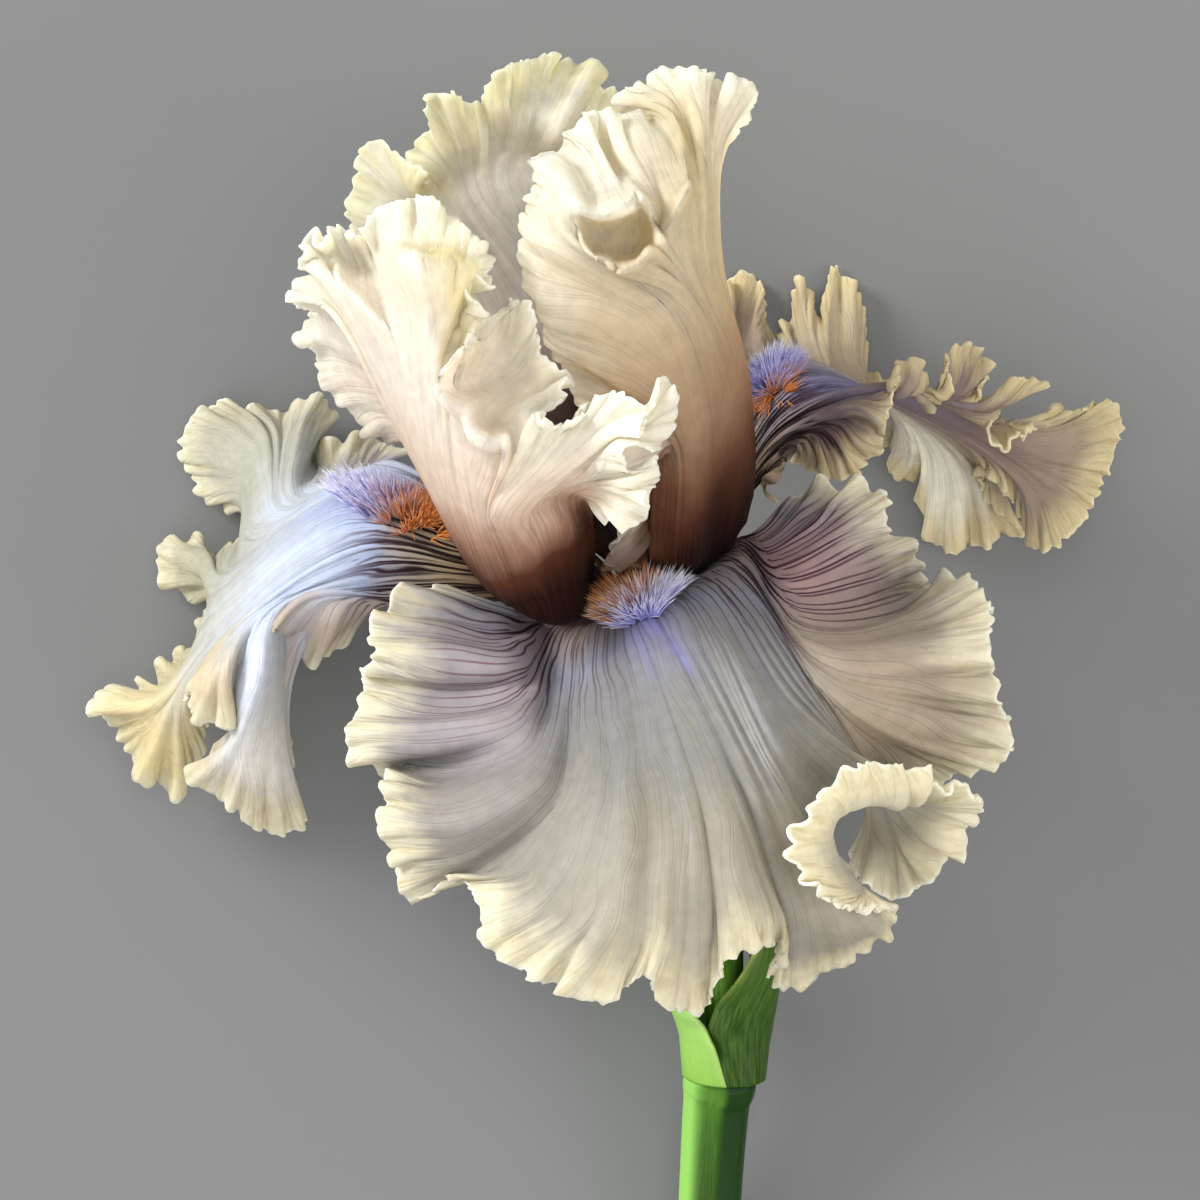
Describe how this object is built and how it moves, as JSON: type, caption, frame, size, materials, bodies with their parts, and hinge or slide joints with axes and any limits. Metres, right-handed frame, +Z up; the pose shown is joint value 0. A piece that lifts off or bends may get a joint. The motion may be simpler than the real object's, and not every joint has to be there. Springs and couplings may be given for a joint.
{
  "type": "bearded iris flower",
  "caption": "Ruffled bearded iris flower on a short cut stem, lying on a surface with its front fall facing up.",
  "frame": {"origin": "centre of the footprint's bounding box, on the surface the flower lies on", "axes": "+Y from the cut stem to the tops of the standards, +Z up from the surface, +X to the right seen from above"},
  "size_m": [0.1506, 0.1852, 0.1013],
  "materials": {
    "fall": "thin lavender-white petal with dark veins and a cream ruffled margin",
    "standard": "thin cream petal, peach towards its claw, with a yellow ruffled margin",
    "beard": "soft tuft of hairs, rust-orange in the throat to violet-blue outside",
    "style_arm": "thin pale peach petal-like tissue",
    "filament": "smooth pale cream plant tissue",
    "anther": "powdery cream",
    "ovary": "smooth waxy green",
    "stem": "smooth waxy green",
    "spathe": "waxy green bract with a papery tan edge"
  },
  "bodies": {
    "root": {"fall_front": "fall", "fall_left": "fall", "fall_right": "fall", "standard_left": "standard", "standard_right": "standard", "standard_back": "standard", "beard_front": "beard", "beard_left": "beard", "beard_right": "beard", "style_arm_front": "style_arm", "style_arm_left": "style_arm", "style_arm_right": "style_arm", "filament_front": "filament", "filament_left": "filament", "filament_right": "filament", "anther_front": "anther", "anther_left": "anther", "anther_right": "anther", "ovary": "ovary", "stem": "stem", "spathe_outer": "spathe", "spathe_inner": "spathe"}
  },
  "joints": []
}
